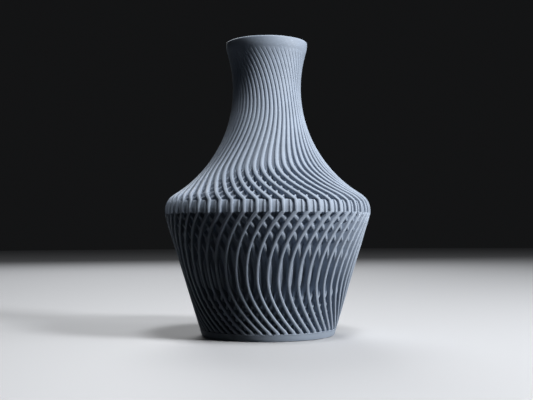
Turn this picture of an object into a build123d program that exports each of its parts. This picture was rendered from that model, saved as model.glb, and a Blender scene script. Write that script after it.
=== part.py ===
from build123d import *
import math
import os

# Tall ribbed vase with a conical body, a narrow band, a long flared neck and a rounded lip.
#
# A smooth watertight wall carries two layers of ribs. The inner layer twists one way
# and the outer layer, which crosses over it, twists the other way.
# Millimetres, +Z up, origin at the centre of the foot's underside.

# Overall form
HEIGHT = 220.0
FOOT_RADIUS = 49.7
FOOT_HEIGHT = 5.2
FOOT_CHAMFER = 0.6
BAND_RADIUS = 77.3
BAND_BOTTOM = 90.0
BAND_TOP = 99.0
CORNER_HEIGHT = 92.5
CORNER_ARC = 14.5
THROAT_RADIUS = 25.7
THROAT_HEIGHT = 185.0
NECK_BOTTOM = 126.0
COLLAR_BOTTOM = 212.5
COLLAR_WAIST = 215.3
COLLAR_WAIST_RADIUS = 30.4
LIP_RADIUS = 30.8
LIP_ROUND = 2.2
BASE_THICKNESS = 3.0

# Surfaces, as depth below the skin, square to it: on the body and shoulder, and at the throat
SKIN = (0.0, 0.0)
RIB_CROSSING = (1.4, 1.4)
BAND_FACE = (1.9, 1.9)
WALL_OUTSIDE = (3.8, 2.2)
WALL_INSIDE = (5.6, 4.0)

# Ribs
RIB_COUNT = 54
LOWER_OUTER_WIDTH = 1.8
BAND_OUTER_WIDTH = 2.3
UPPER_OUTER_WIDTH = 2.2
LOWER_INNER_WIDTH = 1.7
UPPER_INNER_WIDTH = 1.5
CREST_ROUNDING = 0.55
SECTION_STEP = 6.0
OUTER_START_ANGLE = 1.25
RIB_PITCH_ANGLE = 360.0 / RIB_COUNT
INNER_START_ANGLE = OUTER_START_ANGLE - 0.43 * RIB_PITCH_ANGLE
INNER_TWIST_RATIO = -1.11

# Twist of an outer rib: height, angle in degrees and its slope in degrees per mm
LOWER_TWIST = ((FOOT_HEIGHT, 6.4, -1.11), (44.0, -14.8, 0.0), (BAND_BOTTOM, 0.0, 0.67))
BAND_TWIST = ((BAND_BOTTOM, 0.0, 0.0), (BAND_TOP, 0.0, 0.0))
UPPER_TWIST = (
    (BAND_TOP, 0.0, -0.72),
    (126.0, -19.5, 0.0),
    (168.5, -7.8, 0.0),
    (COLLAR_BOTTOM, -34.6, -1.18),
)

# Derived sizes
CONE_SLOPE = (BAND_RADIUS - FOOT_RADIUS) / BAND_BOTTOM
CORNER_CENTRE = BAND_RADIUS - CORNER_ARC
LIP_INNER_RADIUS = LIP_RADIUS - 2 * LIP_ROUND
LIP_BOTTOM = HEIGHT - LIP_ROUND


def neck_circle(surface):
    """Centre radius and arc radius of a surface's neck, whose arc is tangent to the corner's."""
    body_depth, neck_depth = surface
    corner_arc = CORNER_ARC - body_depth
    throat = THROAT_RADIUS - neck_depth
    inset = CORNER_CENTRE - throat
    rise = THROAT_HEIGHT - CORNER_HEIGHT
    neck_arc = (inset**2 + rise**2 - corner_arc**2) / (2 * (inset + corner_arc))
    return throat + neck_arc, neck_arc


def tangent_height(surface):
    """Height where a surface's corner arc meets its neck arc."""
    centre, _ = neck_circle(surface)
    angle = math.atan2(THROAT_HEIGHT - CORNER_HEIGHT, centre - CORNER_CENTRE)
    return CORNER_HEIGHT + (CORNER_ARC - surface[0]) * math.sin(angle)


def cone_radius(z, surface):
    """Radius of a surface's conical body at a height."""
    return FOOT_RADIUS + CONE_SLOPE * z - surface[0] * math.hypot(1.0, CONE_SLOPE)


def surface_radius(z, surface):
    """Radius of a surface at a height."""
    body_depth = surface[0]
    if z <= CORNER_HEIGHT:
        return min(cone_radius(z, surface), BAND_RADIUS - body_depth)
    if z <= tangent_height(surface):
        rise = z - CORNER_HEIGHT
        return CORNER_CENTRE + math.sqrt((CORNER_ARC - body_depth) ** 2 - rise**2)
    centre, neck_arc = neck_circle(surface)
    return centre - math.sqrt(neck_arc**2 - (z - THROAT_HEIGHT) ** 2)


def skin_stretch(z):
    """Length along the skin for each millimetre of height."""
    step = 0.01
    rise = surface_radius(z + step, SKIN) - surface_radius(z - step, SKIN)
    return math.hypot(1.0, rise / (2 * step))


def twist_at(knots, z):
    """Twist and its slope at a height, on a smooth curve through the knots."""
    for (z0, f0, s0), (z1, f1, s1) in zip(knots, knots[1:]):
        if z <= z1 or z1 == knots[-1][0]:
            span = z1 - z0
            t = (z - z0) / span
            value = (2 * t**3 - 3 * t**2 + 1) * f0 + (t**3 - 2 * t**2 + t) * span * s0
            value += (3 * t**2 - 2 * t**3) * f1 + (t**3 - t**2) * span * s1
            slope = (6 * t**2 - 6 * t) * (f0 - f1) / span + (3 * t**2 - 4 * t + 1) * s0
            slope += (3 * t**2 - 2 * t) * s1
            return value, slope


def section_heights(bottom, top):
    """Heights of a rib's sections, evenly spaced along the skin."""
    heights = [bottom]
    while heights[-1] < top:
        heights.append(heights[-1] + SECTION_STEP / skin_stretch(heights[-1]))
    scale = (top - bottom) / (heights[-1] - bottom)
    return [bottom + scale * (z - bottom) for z in heights]


def polar_point(radius, angle):
    """Point at a radius and an angle in degrees, counted from the front towards +X."""
    return (radius * math.sin(math.radians(angle)), -radius * math.cos(math.radians(angle)))


def rib_section(z, angle, width, crest_surface, root_surface, rounding):
    """Closed outline of a rib at one height: a root arc, two sides and a crest arc."""
    root = surface_radius(z, root_surface)
    crest = surface_radius(z, crest_surface)
    side = crest - rounding * skin_stretch(z)
    half = math.degrees(width / 2 / crest)
    with BuildLine() as outline:
        ThreePointArc(
            polar_point(root, angle - half),
            polar_point(root, angle),
            polar_point(root, angle + half),
        )
        Line(polar_point(root, angle + half), polar_point(side, angle + half))
        ThreePointArc(
            polar_point(side, angle + half),
            polar_point(crest, angle),
            polar_point(side, angle - half),
        )
        Line(polar_point(side, angle - half), polar_point(root, angle - half))
    return outline


def rib_layer(knots, start_angle, twist_ratio, width, crest_surface, root_surface, rounding):
    """A full circle of ribs, each lofted through sections between the first and last knot."""
    with BuildPart() as rib:
        for z in section_heights(knots[0][0], knots[-1][0]):
            twist, slope = twist_at(knots, z)
            sideways = surface_radius(z, SKIN) * math.radians(slope * twist_ratio)
            lean = math.hypot(1.0, sideways / skin_stretch(z))
            with BuildSketch(Plane.XY.offset(z)):
                angle = start_angle + twist * twist_ratio
                add(rib_section(z, angle, width * lean, crest_surface, root_surface, rounding))
                make_face()
        loft()
    with BuildPart() as layer:
        with PolarLocations(0, RIB_COUNT):
            add(rib.part)
    return layer


def outer_rib_layer(knots, width, root_surface):
    """Outer ribs: they cross over the inner ribs and have a rounded crest."""
    return rib_layer(knots, OUTER_START_ANGLE, 1.0, width, SKIN, root_surface, CREST_ROUNDING)


def inner_rib_layer(knots, width, root_surface):
    """Inner ribs: they stand on the wall, twist the other way and carry the outer ribs."""
    return rib_layer(
        knots, INNER_START_ANGLE, INNER_TWIST_RATIO, width, RIB_CROSSING, root_surface, 0.0
    )


def surface_point(z, surface):
    """Point of a surface's outline at a height, as radius and height."""
    return (surface_radius(z, surface), z)


def neck_arc_line(bottom, top, surface):
    """Draw a stretch of a surface's neck."""
    ThreePointArc(
        surface_point(bottom, surface),
        surface_point((bottom + top) / 2, surface),
        surface_point(top, surface),
    )


def band_line(surface):
    """Draw a surface from the band's bottom to its top, partly round the corner."""
    Line(surface_point(BAND_BOTTOM, surface), surface_point(CORNER_HEIGHT, surface))
    ThreePointArc(
        surface_point(CORNER_HEIGHT, surface),
        surface_point((CORNER_HEIGHT + BAND_TOP) / 2, surface),
        surface_point(BAND_TOP, surface),
    )


def shoulder_line(surface):
    """Draw a surface from the band's top over the rest of the corner to the neck's bottom."""
    tangent = tangent_height(surface)
    ThreePointArc(
        surface_point(BAND_TOP, surface),
        surface_point((BAND_TOP + tangent) / 2, surface),
        surface_point(tangent, surface),
    )
    neck_arc_line(tangent, NECK_BOTTOM, surface)


def level_line(z, outer_surface, inner_surface):
    """Draw a level line between two surfaces."""
    Line(surface_point(z, outer_surface), surface_point(z, inner_surface))


# Foot ring: the smooth band that the vase stands on, and that the lower ribs rise from
with BuildPart() as foot_ring:
    with BuildSketch(Plane.XZ):
        with BuildLine():
            Polyline(
                surface_point(0.0, WALL_INSIDE),
                (FOOT_RADIUS - FOOT_CHAMFER, 0.0),
                surface_point(FOOT_CHAMFER, SKIN),
                surface_point(FOOT_HEIGHT, SKIN),
                surface_point(FOOT_HEIGHT, WALL_INSIDE),
                close=True,
            )
        make_face()
    revolve(axis=Axis.Z)
foot_ring.part.label = "foot_ring"

# Base plate: the floor of the vase, level with the underside of the foot ring
with BuildPart() as base_plate:
    with BuildSketch(Plane.XZ):
        with BuildLine():
            Polyline(
                (0.0, 0.0),
                surface_point(0.0, WALL_INSIDE),
                surface_point(BASE_THICKNESS, WALL_INSIDE),
                (0.0, BASE_THICKNESS),
                close=True,
            )
        make_face()
    revolve(axis=Axis.Z)
base_plate.part.label = "base_plate"

# Body wall: the smooth conical shell behind the lower ribs
with BuildPart() as body_wall:
    with BuildSketch(Plane.XZ):
        with BuildLine():
            Polyline(
                surface_point(FOOT_HEIGHT, WALL_INSIDE),
                surface_point(FOOT_HEIGHT, WALL_OUTSIDE),
                surface_point(BAND_BOTTOM, WALL_OUTSIDE),
                surface_point(BAND_BOTTOM, WALL_INSIDE),
                close=True,
            )
        make_face()
    revolve(axis=Axis.Z)
body_wall.part.label = "body_wall"

# Band wall: the shell behind the band
with BuildPart() as band_wall:
    with BuildSketch(Plane.XZ):
        with BuildLine():
            band_line(WALL_OUTSIDE)
            band_line(WALL_INSIDE)
            level_line(BAND_BOTTOM, WALL_OUTSIDE, WALL_INSIDE)
            level_line(BAND_TOP, WALL_OUTSIDE, WALL_INSIDE)
        make_face()
    revolve(axis=Axis.Z)
band_wall.part.label = "band_wall"

# Shoulder wall: the shell from the band in to the neck
with BuildPart() as shoulder_wall:
    with BuildSketch(Plane.XZ):
        with BuildLine():
            shoulder_line(WALL_OUTSIDE)
            shoulder_line(WALL_INSIDE)
            level_line(BAND_TOP, WALL_OUTSIDE, WALL_INSIDE)
            level_line(NECK_BOTTOM, WALL_OUTSIDE, WALL_INSIDE)
        make_face()
    revolve(axis=Axis.Z)
shoulder_wall.part.label = "shoulder_wall"

# Neck wall: the shell behind the neck's ribs, up to the collar
with BuildPart() as neck_wall:
    with BuildSketch(Plane.XZ):
        with BuildLine():
            neck_arc_line(NECK_BOTTOM, COLLAR_BOTTOM, WALL_OUTSIDE)
            neck_arc_line(NECK_BOTTOM, COLLAR_BOTTOM, WALL_INSIDE)
            level_line(NECK_BOTTOM, WALL_OUTSIDE, WALL_INSIDE)
            level_line(COLLAR_BOTTOM, WALL_OUTSIDE, WALL_INSIDE)
        make_face()
    revolve(axis=Axis.Z)
neck_wall.part.label = "neck_wall"

# Band ring: it fills the space between the wall and the band's ribs
with BuildPart() as band_ring:
    with BuildSketch(Plane.XZ):
        with BuildLine():
            band_line(BAND_FACE)
            band_line(WALL_OUTSIDE)
            level_line(BAND_BOTTOM, BAND_FACE, WALL_OUTSIDE)
            level_line(BAND_TOP, BAND_FACE, WALL_OUTSIDE)
        make_face()
    revolve(axis=Axis.Z)
band_ring.part.label = "band_ring"

# Collar: the smooth ring that the ribs end under, with a fully rounded lip
with BuildPart() as collar:
    with BuildSketch(Plane.XZ):
        with BuildLine():
            ThreePointArc(
                surface_point(COLLAR_BOTTOM, SKIN),
                (COLLAR_WAIST_RADIUS, COLLAR_WAIST),
                (LIP_RADIUS, LIP_BOTTOM),
            )
            ThreePointArc(
                (LIP_RADIUS, LIP_BOTTOM),
                (LIP_RADIUS - LIP_ROUND, HEIGHT),
                (LIP_INNER_RADIUS, LIP_BOTTOM),
            )
            Line((LIP_INNER_RADIUS, LIP_BOTTOM), surface_point(COLLAR_BOTTOM, WALL_INSIDE))
            level_line(COLLAR_BOTTOM, SKIN, WALL_INSIDE)
        make_face()
    revolve(axis=Axis.Z)
collar.part.label = "collar"

# Lower ribs: from the foot ring up the conical body to the band
lower_inner_ribs = inner_rib_layer(LOWER_TWIST, LOWER_INNER_WIDTH, WALL_OUTSIDE)
lower_inner_ribs.part.label = "lower_inner_ribs"
lower_outer_ribs = outer_rib_layer(LOWER_TWIST, LOWER_OUTER_WIDTH, RIB_CROSSING)
lower_outer_ribs.part.label = "lower_outer_ribs"

# Band ribs: short upright ribs around the widest part, on the band ring
band_inner_ribs = inner_rib_layer(BAND_TWIST, UPPER_INNER_WIDTH, BAND_FACE)
band_inner_ribs.part.label = "band_inner_ribs"
band_outer_ribs = outer_rib_layer(BAND_TWIST, BAND_OUTER_WIDTH, BAND_FACE)
band_outer_ribs.part.label = "band_outer_ribs"

# Upper ribs: over the shoulder and up the neck to the collar
upper_inner_ribs = inner_rib_layer(UPPER_TWIST, UPPER_INNER_WIDTH, WALL_OUTSIDE)
upper_inner_ribs.part.label = "upper_inner_ribs"
upper_outer_ribs = outer_rib_layer(UPPER_TWIST, UPPER_OUTER_WIDTH, RIB_CROSSING)
upper_outer_ribs.part.label = "upper_outer_ribs"

os.makedirs("parts", exist_ok=True)
export_step(foot_ring.part, "parts/foot_ring.step")
export_step(base_plate.part, "parts/base_plate.step")
export_step(body_wall.part, "parts/body_wall.step")
export_step(band_wall.part, "parts/band_wall.step")
export_step(shoulder_wall.part, "parts/shoulder_wall.step")
export_step(neck_wall.part, "parts/neck_wall.step")
export_step(band_ring.part, "parts/band_ring.step")
export_step(collar.part, "parts/collar.step")
export_step(lower_inner_ribs.part, "parts/lower_inner_ribs.step")
export_step(lower_outer_ribs.part, "parts/lower_outer_ribs.step")
export_step(band_inner_ribs.part, "parts/band_inner_ribs.step")
export_step(band_outer_ribs.part, "parts/band_outer_ribs.step")
export_step(upper_inner_ribs.part, "parts/upper_inner_ribs.step")
export_step(upper_outer_ribs.part, "parts/upper_outer_ribs.step")
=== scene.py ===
"""Looks of the ribbed vase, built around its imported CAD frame. Metres, +Z up, -Y to the camera."""

import math

import bmesh
import bpy
import numpy as np
from mathutils import Matrix, Vector


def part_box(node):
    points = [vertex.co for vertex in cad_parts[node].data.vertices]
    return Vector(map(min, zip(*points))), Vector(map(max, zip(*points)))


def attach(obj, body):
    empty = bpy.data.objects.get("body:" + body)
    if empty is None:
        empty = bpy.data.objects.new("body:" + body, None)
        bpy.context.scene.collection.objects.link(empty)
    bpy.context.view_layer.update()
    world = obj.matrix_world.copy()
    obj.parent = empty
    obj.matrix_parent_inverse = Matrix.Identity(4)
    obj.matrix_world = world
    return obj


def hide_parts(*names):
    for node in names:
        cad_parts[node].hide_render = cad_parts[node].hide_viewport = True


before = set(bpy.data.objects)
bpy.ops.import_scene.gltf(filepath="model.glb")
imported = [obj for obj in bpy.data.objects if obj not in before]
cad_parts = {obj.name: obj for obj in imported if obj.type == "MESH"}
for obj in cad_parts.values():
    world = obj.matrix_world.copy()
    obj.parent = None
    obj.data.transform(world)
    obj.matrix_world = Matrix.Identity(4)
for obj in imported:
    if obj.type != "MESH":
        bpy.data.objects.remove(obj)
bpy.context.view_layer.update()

MM = 0.001

# Form of the skin, in millimetres, as the CAD model has it
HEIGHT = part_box("collar")[1][2] / MM
FOOT_RADIUS = 49.7
FOOT_HEIGHT = 5.2
FOOT_CHAMFER = 0.6
BAND_RADIUS = 77.3
BAND_BOTTOM = 90.0
BAND_TOP = 99.0
CORNER_HEIGHT = 92.5
CORNER_ARC = 14.5
THROAT_RADIUS = 25.7
THROAT_HEIGHT = 185.0
NECK_BOTTOM = 126.0
COLLAR_BOTTOM = 212.5
LIP_RADIUS = 30.8
LIP_ROUND = 2.2
CONE_SLOPE = (BAND_RADIUS - FOOT_RADIUS) / BAND_BOTTOM
CORNER_CENTRE = BAND_RADIUS - CORNER_ARC

# CAD surfaces, as depth below the skin, square to it: on the body and shoulder, and at the throat
SKIN = (0.0, 0.0)
BAND_FACE = (1.9, 1.9)
WALL_OUTSIDE = (3.8, 2.2)
WALL_INSIDE = (5.6, 4.0)

# Depth of the wall's face below the skin, by height: deep behind the lattice, none at the collar
GROOVE_DEPTH = (
    (FOOT_HEIGHT, 3.8),
    (16.0, 4.6),
    (BAND_TOP, 4.6),
    (112.0, 4.3),
    (122.0, 3.1),
    (131.0, 2.5),
    (150.0, 1.6),
    (185.0, 0.48),
    (200.0, 0.42),
    (208.0, 0.24),
    (214.0, 0.0),
)

# Foot ring: rounded top edge, fillet behind the ribs, and how far it runs in behind the wall's face
FOOT_EDGE = 0.35
FOOT_FILLET = 0.8
FOOT_TUCK = 0.6

# Band ring: bevel under the shoulder, and how far it runs in behind the CAD wall's outside
BAND_EDGE = 0.8
BAND_TUCK = 0.5

# Collar: where it starts, where its flare starts to ease upright, the lip's outer edge, and how
# far in and down from the inner rounding its inside runs before it meets the wall's inside
COLLAR_START = 206.0
COLLAR_ROWS = 27
FLARE_BEND = 212.0
LIP_EDGE = 1.0
LIP_UNDERCUT = 0.7
LIP_INNER_DROP = 2.5

# Ribs: number in a layer, and widths by height, with the end values holding below and above
RIB_COUNT = 54
OUTER_WIDTH = ((91.0, 2.3), (100.0, 2.5), (125.0, 2.8), (150.0, 2.6), (185.0, 2.4), (213.0, 2.7))
INNER_WIDTH = ((22.0, 1.8), (34.0, 2.4), (54.0, 2.4), (66.0, 2.1), (88.0, 2.1), (91.0, 1.5))

# Twist of an outer rib: height, angle in degrees, slope in degrees per millimetre
OUTER_START_ANGLE = 1.25
LOWER_TWIST = ((FOOT_HEIGHT, 6.4, -1.11), (44.0, -14.8, 0.0), (BAND_BOTTOM, 0.0, 0.67))
UPPER_TWIST = (
    (BAND_TOP, 0.0, -0.72),
    (126.0, -19.5, 0.0),
    (168.5, -7.8, 0.0),
    (COLLAR_BOTTOM, -34.6, -1.18),
)

# Inner ribs stand between the outer ones on the band and twist the other way, a little faster
INNER_START_ANGLE = OUTER_START_ANGLE - 0.43 * 360.0 / RIB_COUNT
INNER_TWIST_RATIO = -1.11

# Heights that ribs run between, and the height where inner ribs have sunk into the wall
RIB_START_TUCK = 0.8
RIB_END = 214.5
INNER_TOP = 132.0
ZONES = (
    ("lower", FOOT_HEIGHT - RIB_START_TUCK, BAND_BOTTOM),
    ("band", BAND_BOTTOM, BAND_TOP),
    ("upper", BAND_TOP, RIB_END),
)

# Inner ribs: crest below the skin, spread of each flank at the root, and least height of a rib
INNER_CREST = {"lower": 2.0, "band": 1.0, "upper": 2.0}
INNER_FLANK = {"lower": 1.5, "band": 0.0, "upper": 1.5}
INNER_LEAST_HEIGHT = 0.8

# How far the roots of all ribs go in behind the wall's face
ROOT_TUCK = 0.5

# Rounding of the crests, in millimetres; an outer rib's is at most this share of the groove's depth
OUTER_ROUNDING = 0.75
INNER_ROUNDING = 0.5
GROOVE_SHARE = 0.9
CREST_POINTS = 9
CREST_ACROSS_POWER = 0.8
CREST_FALL_POWER = 0.9

# Crests sink into the foot ring and into the collar, and inner ribs fade out up the shoulder
FOOT_SINK = 0.35
COLLAR_SINK = 0.26
COLLAR_SINK_START = 209.0
INNER_FADE = 0.8
INNER_FADE_START = 116.0
INNER_FADE_SPAN = 14.0

# Ribs widen by this share where they meet the foot ring, over about this height
FOOT_FLARE = 0.8
FOOT_FLARE_SPAN = 0.9

# Mesh fineness: lookup grid, softening of kinks, and spacing of rows and of rib stations
GRID_STEP = 0.1
GRID_MARGIN = 10.0
ELBOW_REACH = 0.6
CORNER_REACH = 0.4
RIB_STATION = 2.0
ELBOW_STATION = 0.25
ELBOW_ZONE = 2.5
WALL_ROWS_PER_MM = 2
WALL_SLOPE_REACH = 0.05
RIB_SLOPE_REACH = 0.1
FLARE_SLOPE_REACH = 0.5
TURNS = 324
SHARP_ANGLE = 55.0


# ---------------------------------------------------------------- form
def neck_circle(surface):
    """Centre radius and arc radius of a surface's neck, whose arc is tangent to the corner's."""
    body_depth, neck_depth = surface
    corner_arc = CORNER_ARC - body_depth
    throat = THROAT_RADIUS - neck_depth
    inset = CORNER_CENTRE - throat
    rise = THROAT_HEIGHT - CORNER_HEIGHT
    neck_arc = (inset**2 + rise**2 - corner_arc**2) / (2 * (inset + corner_arc))
    return throat + neck_arc, neck_arc


def surface_radius(z, surface):
    """Radius of a surface, for one height or many."""
    z = np.asarray(z, float)
    body_depth = surface[0]
    corner_arc = CORNER_ARC - body_depth
    centre, neck_arc = neck_circle(surface)
    angle = math.atan2(THROAT_HEIGHT - CORNER_HEIGHT, centre - CORNER_CENTRE)
    tangent = CORNER_HEIGHT + corner_arc * math.sin(angle)
    cone = FOOT_RADIUS + CONE_SLOPE * z - body_depth * math.hypot(1.0, CONE_SLOPE)
    body = np.minimum(cone, BAND_RADIUS - body_depth)
    corner = CORNER_CENTRE + np.sqrt(corner_arc**2 - np.clip(z - CORNER_HEIGHT, 0.0, corner_arc) ** 2)
    neck = centre - np.sqrt(np.maximum(neck_arc**2 - (z - THROAT_HEIGHT) ** 2, 0.0))
    return np.where(z <= CORNER_HEIGHT, body, np.where(z <= tangent, corner, neck))


def radius_at(z, surface):
    """Radius of a surface at one height."""
    return float(surface_radius(z, surface))


def skin_slope(z, reach):
    """Change of the skin's radius per millimetre of height, measured over a reach each way."""
    return (surface_radius(z + reach, SKIN) - surface_radius(z - reach, SKIN)) / (2 * reach)


def look_up(table, z):
    """Value at each height, from a table of height and value pairs."""
    return np.interp(z, *zip(*table))


def hermite(knots, z):
    """Smooth curve through knots of height, value and slope."""
    value = np.zeros_like(z)
    for (z0, f0, s0), (z1, f1, s1) in zip(knots, knots[1:]):
        span = z1 - z0
        t = np.clip((z - z0) / span, 0.0, 1.0)
        past = np.where(z > z1, (z - z1) * s1, 0.0)
        part = (2 * t**3 - 3 * t**2 + 1) * f0 + (t**3 - 2 * t**2 + t) * span * s0
        part += (3 * t**2 - 2 * t**3) * f1 + (t**3 - t**2) * span * s1 + past
        value = np.where((z >= z0) | (z0 == knots[0][0]), part, value)
    return value


def soften(values, reach):
    """Running mean over a reach in millimetres each way, which rounds a kink to an elbow."""
    count = 2 * round(reach / GRID_STEP) + 1
    padded = np.pad(values, count // 2, mode="edge")
    return np.convolve(padded, np.full(count, 1.0 / count), mode="valid")


# Twist and skin at closely spaced heights; on the band the ribs stand upright
GRID = np.arange(-GRID_MARGIN, HEIGHT + GRID_MARGIN, GRID_STEP)
TWIST_GRID = np.where(
    GRID < BAND_BOTTOM,
    hermite(LOWER_TWIST, GRID),
    np.where(GRID > BAND_TOP, hermite(UPPER_TWIST, GRID), 0.0),
)
TWIST_GRID = soften(TWIST_GRID, ELBOW_REACH)
SKIN_GRID = soften(surface_radius(GRID, SKIN), CORNER_REACH)


def frame_along(z, start_angle, twist_ratio):
    """Points of a rib's path on the skin, with the outward normal and the sideways direction."""
    step = GRID_STEP * 2

    def place(height):
        radius = np.interp(height, GRID, SKIN_GRID)
        turn = np.radians(start_angle + twist_ratio * np.interp(height, GRID, TWIST_GRID))
        return np.stack([radius * np.sin(turn), -radius * np.cos(turn), height], axis=-1)

    point = place(z)
    along = place(z + step) - place(z - step)
    along /= np.linalg.norm(along, axis=-1, keepdims=True)
    rise = (np.interp(z + step, GRID, SKIN_GRID) - np.interp(z - step, GRID, SKIN_GRID)) / (2 * step)
    radius = np.hypot(point[:, 0], point[:, 1])
    outward = np.stack([point[:, 0] / radius, point[:, 1] / radius, -rise], axis=-1)
    outward /= np.linalg.norm(outward, axis=-1, keepdims=True)
    side = np.cross(along, outward)
    side /= np.linalg.norm(side, axis=-1, keepdims=True)
    return point, outward, side


def rib_stations(bottom, top):
    """Heights of a rib's cross-sections, closer together at the two elbows."""
    heights = [bottom]
    while heights[-1] < top - 1e-6:
        z = heights[-1]
        stretch = math.hypot(1.0, float(skin_slope(z, RIB_SLOPE_REACH)))
        near = min(abs(z - BAND_BOTTOM), abs(z - BAND_TOP)) < ELBOW_ZONE
        heights.append(z + (ELBOW_STATION if near else RIB_STATION / stretch))
    heights[-1] = top
    return np.array(heights)


# ---------------------------------------------------------------- meshes
def mesh_object(name, verts, faces):
    """Object from vertices in millimetres and faces."""
    mesh = bpy.data.meshes.new(name)
    mesh.from_pydata((np.asarray(verts) * MM).tolist(), [], faces)
    mesh.update()
    piece = bpy.data.objects.new(name, mesh)
    bpy.context.scene.collection.objects.link(piece)
    face_out(piece)
    return piece


def face_out(piece):
    """Turn every face of a closed mesh outwards and shade it smooth but for its true edges."""
    mesh = bmesh.new()
    mesh.from_mesh(piece.data)
    bmesh.ops.recalc_face_normals(mesh, faces=mesh.faces)
    mesh.to_mesh(piece.data)
    mesh.free()
    piece.data.polygons.foreach_set("use_smooth", [True] * len(piece.data.polygons))
    piece.data.set_sharp_from_angle(angle=math.radians(SHARP_ANGLE))


def crest_profile():
    """Rounded top of a rib from side to side, as shares of its half width and of its rounding."""
    angles = np.radians(np.linspace(180.0, 0.0, CREST_POINTS))
    across = np.sign(np.cos(angles)) * np.abs(np.cos(angles)) ** CREST_ACROSS_POWER
    return across, 1.0 - np.sin(angles) ** CREST_FALL_POWER


def rib_sections(path, width, crest, root, rounding, flank):
    """Cross-sections up a rib: each a root corner, the rounded crest and the other root corner."""
    point, outward, side = path
    across, fall = crest_profile()
    across = np.concatenate([across[:1], across, across[-1:]])
    fall = rounding[:, None] * fall[None, :]
    depth = np.concatenate([root[:, None], crest[:, None] + fall, root[:, None]], axis=1)
    reach = width[:, None] / 2 * across[None, :]
    reach[:, 0] -= flank
    reach[:, -1] += flank
    sections = point[:, None, :] + side[:, None, :] * reach[..., None]
    return sections - outward[:, None, :] * depth[..., None]


def loft_faces(rows, cols):
    """Faces that close rows of points into a solid bar, with both its ends."""
    index = np.arange(rows * cols).reshape(rows, cols)
    nxt = np.roll(index, -1, axis=1)
    sides = np.stack([index[:-1], nxt[:-1], nxt[1:], index[1:]], axis=-1).reshape(-1, 4)
    return sides.tolist() + [index[0][::-1].tolist(), index[-1].tolist()]


def circle_of_ribs(name, sections):
    """A layer's ribs, evenly round the axis, from the cross-sections of one."""
    one_rib = loft_faces(*sections.shape[:2])
    points = sections.reshape(-1, 3)
    verts, faces = [], []
    for k in range(RIB_COUNT):
        a = 2 * math.pi * k / RIB_COUNT
        turn = np.array([[math.cos(a), -math.sin(a), 0], [math.sin(a), math.cos(a), 0], [0, 0, 1]])
        verts.append(points @ turn.T)
        faces += [[i + k * len(points) for i in face] for face in one_rib]
    return mesh_object(name, np.concatenate(verts), faces)


def ring_piece(name, outline):
    """Ring turned from a closed outline of radius and height."""
    outline = np.asarray(outline, float)
    angle = np.arange(TURNS) * 2 * math.pi / TURNS
    x = np.outer(np.sin(angle), outline[:, 0])
    y = -np.outer(np.cos(angle), outline[:, 0])
    verts = np.stack([x, y, np.tile(outline[:, 1], (TURNS, 1))], axis=-1).reshape(-1, 3)
    index = np.arange(TURNS * len(outline)).reshape(TURNS, len(outline))
    across, up = np.roll(index, -1, axis=0), np.roll(index, -1, axis=1)
    corner = np.roll(across, -1, axis=1)
    faces = np.stack([index, across, corner, up], axis=-1).reshape(-1, 4).tolist()
    return mesh_object(name, verts, faces)


def arc(centre, radius, start, end, steps):
    """Points of an arc, angles in degrees."""
    angles = np.radians(np.linspace(start, end, steps + 1))
    return [(centre[0] + radius * math.cos(a), centre[1] + radius * math.sin(a)) for a in angles]


def run_up(bottom, top, surface, step=1.5):
    """Points up a surface, as radius and height."""
    heights = np.linspace(bottom, top, max(2, round((top - bottom) / step) + 1))
    return list(zip(surface_radius(heights, surface).tolist(), heights.tolist()))


def wall_radius(heights):
    """Radius of the wall's face behind the ribs, at each height."""
    lean = np.hypot(1.0, skin_slope(heights, WALL_SLOPE_REACH))
    return surface_radius(heights, SKIN) - look_up(GROOVE_DEPTH, heights) * lean


# ---------------------------------------------------------------- materials
LAYER_STRETCH = (25.0, 25.0, 3300.0)
GRAIN_STRETCH = (2200.0, 2200.0, 2200.0)
TONE_STRETCH = (45.0, 45.0, 90.0)
NOISE_SPAN = (0.3, 0.7)
DARKEST_TONE = 0.93
LIGHTEST_TONE = 1.06
LAYER_TONE = (0.95, 1.03)
ROUGHNESS_SPREAD = (-0.05, 0.06)
GRAIN_IN_BUMP = 0.35


def add_noise(tree, coords, seed, detail, stretch):
    """Noise in the piece's own space, at a frequency per metre along each axis."""
    mapping = tree.nodes.new("ShaderNodeMapping")
    mapping.inputs["Scale"].default_value = stretch
    mapping.inputs["Location"].default_value = (seed, seed * 0.7, seed * 0.3)
    tree.links.new(coords.outputs["Object"], mapping.inputs["Vector"])
    texture = tree.nodes.new("ShaderNodeTexNoise")
    texture.inputs["Scale"].default_value = 1.0
    texture.inputs["Detail"].default_value = detail
    tree.links.new(mapping.outputs["Vector"], texture.inputs["Vector"])
    return texture.outputs["Fac"]


def add_range(tree, value, low, high):
    """Noise spread over a range of values."""
    ranged = tree.nodes.new("ShaderNodeMapRange")
    ranged.inputs["From Min"].default_value = NOISE_SPAN[0]
    ranged.inputs["From Max"].default_value = NOISE_SPAN[1]
    ranged.inputs["To Min"].default_value = low
    ranged.inputs["To Max"].default_value = high
    tree.links.new(value, ranged.inputs["Value"])
    return ranged.outputs["Result"]


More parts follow.
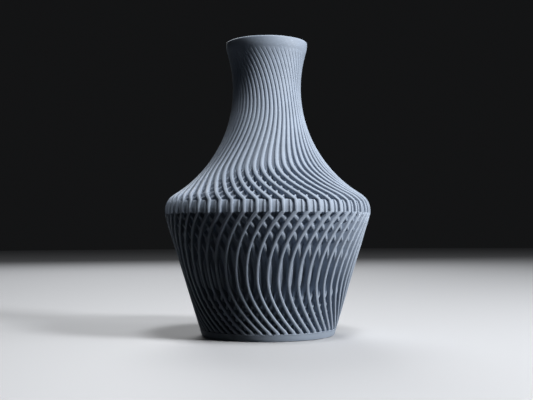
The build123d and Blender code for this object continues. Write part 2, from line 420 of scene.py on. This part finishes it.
def add_colour(tree, colour, tone, layers):
    """Filament colour, with slow changes of tone and a slight change from layer to layer."""
    mix = tree.nodes.new("ShaderNodeMix")
    mix.data_type = "RGBA"
    mix.inputs["A"].default_value = (*[c * DARKEST_TONE for c in colour], 1.0)
    mix.inputs["B"].default_value = (*[min(1.0, c * LIGHTEST_TONE) for c in colour], 1.0)
    tree.links.new(add_range(tree, tone, 0.0, 1.0), mix.inputs["Factor"])
    shade = tree.nodes.new("ShaderNodeCombineColor")
    lines = add_range(tree, layers, *LAYER_TONE)
    for channel in ("Red", "Green", "Blue"):
        tree.links.new(lines, shade.inputs[channel])
    layered = tree.nodes.new("ShaderNodeMix")
    layered.data_type = "RGBA"
    layered.blend_type = "MULTIPLY"
    layered.inputs["Factor"].default_value = 1.0
    tree.links.new(mix.outputs["Result"], layered.inputs["A"])
    tree.links.new(shade.outputs["Color"], layered.inputs["B"])
    return layered.outputs["Result"]


def add_relief(tree, grain, layers):
    """Fine bump of the printed layers, with some grain on it."""
    height = tree.nodes.new("ShaderNodeMath")
    height.operation = "MULTIPLY_ADD"
    height.inputs[1].default_value = GRAIN_IN_BUMP
    tree.links.new(grain, height.inputs[0])
    tree.links.new(layers, height.inputs[2])
    bump = tree.nodes.new("ShaderNodeBump")
    bump.inputs["Strength"].default_value = 0.35
    bump.inputs["Distance"].default_value = 0.00006
    tree.links.new(height.outputs["Value"], bump.inputs["Height"])
    return bump.outputs["Normal"]


def printed_plastic(name, colour, roughness, seed):
    """Matte printed filament: uneven layers, a fine grain and slow changes of tone."""
    material = bpy.data.materials.new(name)
    material.use_nodes = True
    tree = material.node_tree
    shader = tree.nodes["Principled BSDF"]
    coords = tree.nodes.new("ShaderNodeTexCoord")
    layers = add_noise(tree, coords, seed, 1.0, LAYER_STRETCH)
    grain = add_noise(tree, coords, seed, 3.0, GRAIN_STRETCH)
    tone = add_noise(tree, coords, seed, 2.0, TONE_STRETCH)
    tree.links.new(add_colour(tree, colour, tone, layers), shader.inputs["Base Color"])
    uneven = add_range(tree, grain, *[roughness + change for change in ROUGHNESS_SPREAD])
    tree.links.new(uneven, shader.inputs["Roughness"])
    tree.links.new(add_relief(tree, grain, layers), shader.inputs["Normal"])
    shader.inputs["IOR"].default_value = 1.46
    shader.inputs["Specular IOR Level"].default_value = 0.4
    return material


def finish_piece(piece, material, slot, *nodes):
    """Give a piece its material and its place on the body, and hide the CAD nodes it stands in for."""
    piece.data.materials.append(material)
    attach(piece, "root")
    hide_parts(*nodes)


GREY = (0.250, 0.298, 0.372)
outer_plastic = printed_plastic("outer_rib_plastic", GREY, 0.56, 1.0)
inner_plastic = printed_plastic("inner_rib_plastic", GREY, 0.58, 2.0)
wall_plastic = printed_plastic("wall_plastic", GREY, 0.6, 3.0)
smooth_plastic = printed_plastic("smooth_plastic", GREY, 0.54, 4.0)


# ---------------------------------------------------------------- the vase
def own_foot_ring():
    """Smooth foot: a flush outside with rounded edges and a small ledge behind the ribs."""
    ledge = radius_at(FOOT_HEIGHT, WALL_OUTSIDE)
    ledge_top = FOOT_HEIGHT + FOOT_FILLET
    side_top = FOOT_HEIGHT - FOOT_EDGE
    bottom_edge = FOOT_RADIUS - FOOT_CHAMFER
    outline = [(radius_at(0.0, WALL_INSIDE), 0.0), (bottom_edge, 0.0)]
    outline += arc((bottom_edge, FOOT_CHAMFER), FOOT_CHAMFER, -60, 0, 4)
    outline += run_up(2 * FOOT_CHAMFER, side_top, SKIN, 1.0)
    outline += arc((radius_at(FOOT_HEIGHT, SKIN) - FOOT_EDGE, side_top), FOOT_EDGE, 15, 90, 5)
    outline += arc((ledge + FOOT_FILLET, ledge_top), FOOT_FILLET, -90, -180, 5)
    outline += [(ledge - FOOT_TUCK, ledge_top), (radius_at(ledge_top, WALL_INSIDE), ledge_top)]
    ring = ring_piece("foot_ring_printed", outline)
    finish_piece(ring, smooth_plastic, "printed_plastic_smooth", "foot_ring")


def own_wall(node, bottom, top):
    """One stretch of the smooth shell behind the ribs, with its inner face."""
    heights = np.linspace(bottom, top, WALL_ROWS_PER_MM * round(top - bottom) + 1)
    face = list(zip(wall_radius(heights).tolist(), heights.tolist()))
    wall = ring_piece(f"{node}_printed", face + run_up(bottom, top, WALL_INSIDE, 1.0)[::-1])
    finish_piece(wall, wall_plastic, "printed_plastic_wall", node)


def own_band_ring():
    """Raised face behind the band's ribs, with a bevelled edge under the shoulder."""
    outline = [(radius_at(BAND_BOTTOM, WALL_OUTSIDE) - BAND_TUCK, BAND_BOTTOM)]
    outline += run_up(BAND_BOTTOM, BAND_TOP - BAND_EDGE, BAND_FACE, 0.5)
    outline += [(radius_at(BAND_TOP, BAND_FACE) - BAND_EDGE, BAND_TOP)]
    outline += [(radius_at(BAND_TOP, WALL_OUTSIDE) - BAND_TUCK, BAND_TOP)]
    ring = ring_piece("band_ring_printed", outline)
    finish_piece(ring, wall_plastic, "printed_plastic_wall", "band_ring")


def collar_flare():
    """Outside of the collar: the wall swells to the skin, then its flare eases upright."""
    heights = np.linspace(COLLAR_START, HEIGHT - LIP_EDGE, COLLAR_ROWS)
    past = heights - FLARE_BEND
    slope = float(skin_slope(FLARE_BEND, FLARE_SLOPE_REACH))
    eased = radius_at(FLARE_BEND, SKIN) + slope * (past - past**2 / (2 * past[-1]))
    eased = eased - look_up(GROOVE_DEPTH, heights)
    return np.where(past > 0.0, eased, wall_radius(heights)), heights


def own_collar():
    """Collar: the flare, the lip's outer edge and inner rounding, and the inside of the neck."""
    radii, heights = collar_flare()
    lip_inner = LIP_RADIUS - 2 * LIP_ROUND
    outline = list(zip(radii.tolist(), heights.tolist()))
    outline += arc((radii[-1] - LIP_EDGE, HEIGHT - LIP_EDGE), LIP_EDGE, 10, 90, 6)
    outline += arc((lip_inner + LIP_ROUND, HEIGHT - LIP_ROUND), LIP_ROUND, 100, 180, 8)
    outline += [(lip_inner - LIP_UNDERCUT, HEIGHT - LIP_ROUND - LIP_INNER_DROP)]
    outline += run_up(COLLAR_START, COLLAR_BOTTOM, WALL_INSIDE)[::-1]
    collar = ring_piece("collar_printed", outline)
    finish_piece(collar, smooth_plastic, "printed_plastic_smooth", "collar")


def paint_base_plate():
    """The CAD floor of the vase shows as it is, and only needs the wall's material."""
    base_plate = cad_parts["base_plate"]
    for slot in base_plate.material_slots:
        slot.material = wall_plastic


def foot_sink(z):
    """How far crests sink where the ribs run into the foot ring."""
    return FOOT_SINK * np.clip((FOOT_HEIGHT - z) / RIB_START_TUCK, 0.0, 1.0)


def foot_flare(z):
    """Widening of the ribs where they meet the foot ring."""
    return 1.0 + FOOT_FLARE * np.exp(-np.maximum(z - FOOT_HEIGHT, 0.0) / FOOT_FLARE_SPAN)


def outer_ribs(zone, bottom, top):
    """Top layer of ribs in one zone, with crests on the skin that sink into foot and collar."""
    z = rib_stations(bottom, top)
    root = look_up(GROOVE_DEPTH, z) + ROOT_TUCK
    near_end = np.clip((z - COLLAR_SINK_START) / (RIB_END - COLLAR_SINK_START), 0.0, 1.0)
    crest = foot_sink(z) + COLLAR_SINK * near_end**2
    width = look_up(OUTER_WIDTH, z) * foot_flare(z)
    rounding = np.minimum(OUTER_ROUNDING, GROOVE_SHARE * (root - ROOT_TUCK))
    path = frame_along(z, OUTER_START_ANGLE, 1.0)
    ribs = circle_of_ribs(
        f"{zone}_outer_ribs_printed", rib_sections(path, width, crest, root, rounding, 0.0)
    )
    finish_piece(ribs, outer_plastic, "printed_plastic_outer_ribs", f"{zone}_outer_ribs")


def inner_ribs(zone, bottom, top):
    """Under layer of ribs in one zone, fading into the wall up the shoulder."""
    z = rib_stations(bottom, min(top, INNER_TOP))
    fade = INNER_FADE * np.clip((z - INNER_FADE_START) / INNER_FADE_SPAN, 0.0, 1.0)
    crest = foot_sink(z) + INNER_CREST[zone] + fade
    root = np.maximum(look_up(GROOVE_DEPTH, z) + ROOT_TUCK, crest + INNER_LEAST_HEIGHT)
    width = look_up(INNER_WIDTH, z) * foot_flare(z)
    rounding = np.full(len(z), INNER_ROUNDING)
    path = frame_along(z, INNER_START_ANGLE, INNER_TWIST_RATIO)
    ribs = circle_of_ribs(
        f"{zone}_inner_ribs_printed", rib_sections(path, width, crest, root, rounding, INNER_FLANK[zone])
    )
    finish_piece(ribs, inner_plastic, "printed_plastic_inner_ribs", f"{zone}_inner_ribs")


own_foot_ring()
own_wall("body_wall", FOOT_HEIGHT, BAND_BOTTOM)
own_wall("band_wall", BAND_BOTTOM, BAND_TOP)
own_wall("shoulder_wall", BAND_TOP, NECK_BOTTOM)
own_wall("neck_wall", NECK_BOTTOM, COLLAR_START)
own_band_ring()
own_collar()
paint_base_plate()
for zone, bottom, top in ZONES:
    outer_ribs(zone, bottom, top)
    inner_ribs(zone, bottom, top)


# ---------------------------------------------------------------- studio
FLOOR_RADIUS = 4.0
FLOOR_GAP = 0.0002
FLOOR_GREY = (0.42, 0.43, 0.45, 1.0)

# Name, azimuth from the camera's side towards +X and elevation in degrees, distance and size in
# metres, power in watts
LIGHTS = (
    ("key_light", 55, 34, 1.3, 0.28, 19.5),
    ("side_light", 78, 4, 1.3, 0.35, 12.0),
    ("top_light", 30, 74, 1.3, 0.3, 12.0),
    ("back_light", 190, 35, 1.6, 0.8, 13.0),
)
SURROUND_COLOUR = (0.84, 0.87, 0.92, 1.0)
SURROUND_STRENGTH = 0.008

CAMERA_PLACE = (-0.0007, -0.666, 0.0749)
CAMERA_LENS = 59.5
CAMERA_SENSOR = 36.0
CAMERA_TILT_UP = 2.24
CAMERA_ROLL = -0.3


def studio_floor():
    """Plain pale floor, a wide flat disc just under the foot, left out of diffuse bounce light."""
    bpy.ops.mesh.primitive_circle_add(
        vertices=96, radius=FLOOR_RADIUS, fill_type="NGON", location=(0, 0, -FLOOR_GAP)
    )
    floor = bpy.context.object
    floor.name = "studio_floor"
    material = bpy.data.materials.new("floor_paint")
    material.use_nodes = True
    shader = material.node_tree.nodes["Principled BSDF"]
    shader.inputs["Base Color"].default_value = FLOOR_GREY
    shader.inputs["Roughness"].default_value = 0.7
    floor.data.materials.append(material)
    floor.visible_diffuse = False


def softbox(name, azimuth, elevation, distance, size, power, target):
    """Square area light aimed at a target."""
    a, e = math.radians(azimuth), math.radians(elevation)
    away = Vector((math.sin(a) * math.cos(e), -math.cos(a) * math.cos(e), math.sin(e)))
    light = bpy.data.lights.new(name, "AREA")
    light.shape = "SQUARE"
    light.size = size
    light.energy = power
    lamp = bpy.data.objects.new(name, light)
    lamp.location = target + away * distance
    lamp.rotation_euler = (-away).to_track_quat("-Z", "Y").to_euler()
    bpy.context.scene.collection.objects.link(lamp)


def studio_light():
    """Soft light from the right and from above, broad light from behind and a dim surround."""
    middle = Vector((0.0, 0.0, 0.5 * HEIGHT * MM))
    for light in LIGHTS:
        softbox(*light, middle)
    world = bpy.data.worlds.new("studio")
    world.use_nodes = True
    background = world.node_tree.nodes["Background"]
    background.inputs["Color"].default_value = SURROUND_COLOUR
    background.inputs["Strength"].default_value = SURROUND_STRENGTH
    bpy.context.scene.world = world
    bpy.context.scene.view_settings.view_transform = "Standard"


def studio_camera():
    """Camera in front, level with the lower body and tilted slightly up."""
    data = bpy.data.cameras.new("camera")
    data.lens = CAMERA_LENS
    data.sensor_width = CAMERA_SENSOR
    camera = bpy.data.objects.new("camera", data)
    tilt = Matrix.Rotation(math.radians(90.0 + CAMERA_TILT_UP), 4, "X")
    roll = Matrix.Rotation(math.radians(CAMERA_ROLL), 4, "Z")
    camera.matrix_world = Matrix.Translation(CAMERA_PLACE) @ tilt @ roll
    bpy.context.scene.collection.objects.link(camera)
    bpy.context.scene.camera = camera


studio_floor()
studio_light()
studio_camera()
